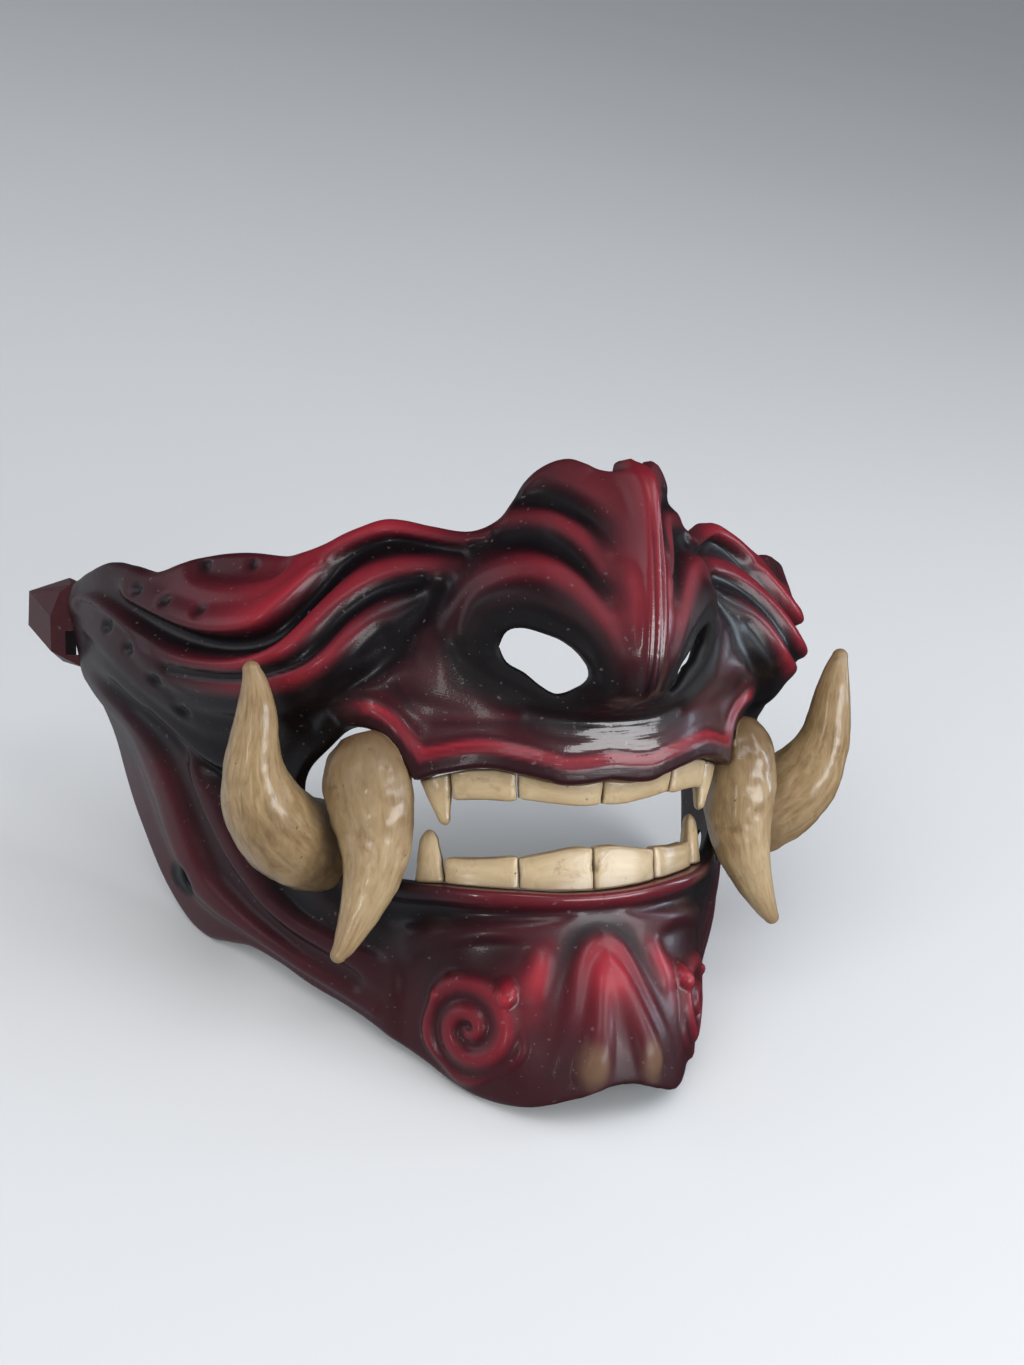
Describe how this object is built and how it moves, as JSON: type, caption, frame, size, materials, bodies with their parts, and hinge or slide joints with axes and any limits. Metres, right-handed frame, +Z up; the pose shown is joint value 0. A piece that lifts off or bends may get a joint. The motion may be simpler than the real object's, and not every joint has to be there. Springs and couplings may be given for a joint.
{
  "type": "oni half mask",
  "caption": "Half mask of a demon face: hollow shell over nose, cheeks and jaw, with open mouth, teeth, curved tusks and a strap lug at each ear.",
  "frame": {"origin": "centre of the bounding box in plan, at the height of the lowest points of the chin and the two jaw corners it lies on", "axes": "+Z up; -Y the way the face looks, which tips up as the mask lies back on its chin and jaw corners; +X to the right as the front is looked at"},
  "size_m": [0.2082, 0.1658, 0.1421],
  "materials": {
    "lacquer_red": "dark maroon lacquer with brighter red ridges and black airbrushed hollows, satin gloss",
    "ivory_paint": "beige ivory paint with brown stains and fine grain, soft satin"
  },
  "bodies": {
    "root": {"mask_shell": "lacquer_red", "down_tusk_right": "ivory_paint", "down_tusk_left": "ivory_paint", "up_tusk_right": "ivory_paint", "up_tusk_left": "ivory_paint", "upper_incisor_right": "ivory_paint", "upper_incisor_left": "ivory_paint", "upper_premolar_right": "ivory_paint", "upper_premolar_left": "ivory_paint", "upper_fang_right": "ivory_paint", "upper_fang_left": "ivory_paint", "lower_incisor_right": "ivory_paint", "lower_incisor_left": "ivory_paint", "lower_premolar_right": "ivory_paint", "lower_premolar_left": "ivory_paint", "lower_fang_right": "ivory_paint", "lower_fang_left": "ivory_paint", "strap_lug_right": "lacquer_red", "strap_lug_left": "lacquer_red"}
  },
  "joints": []
}
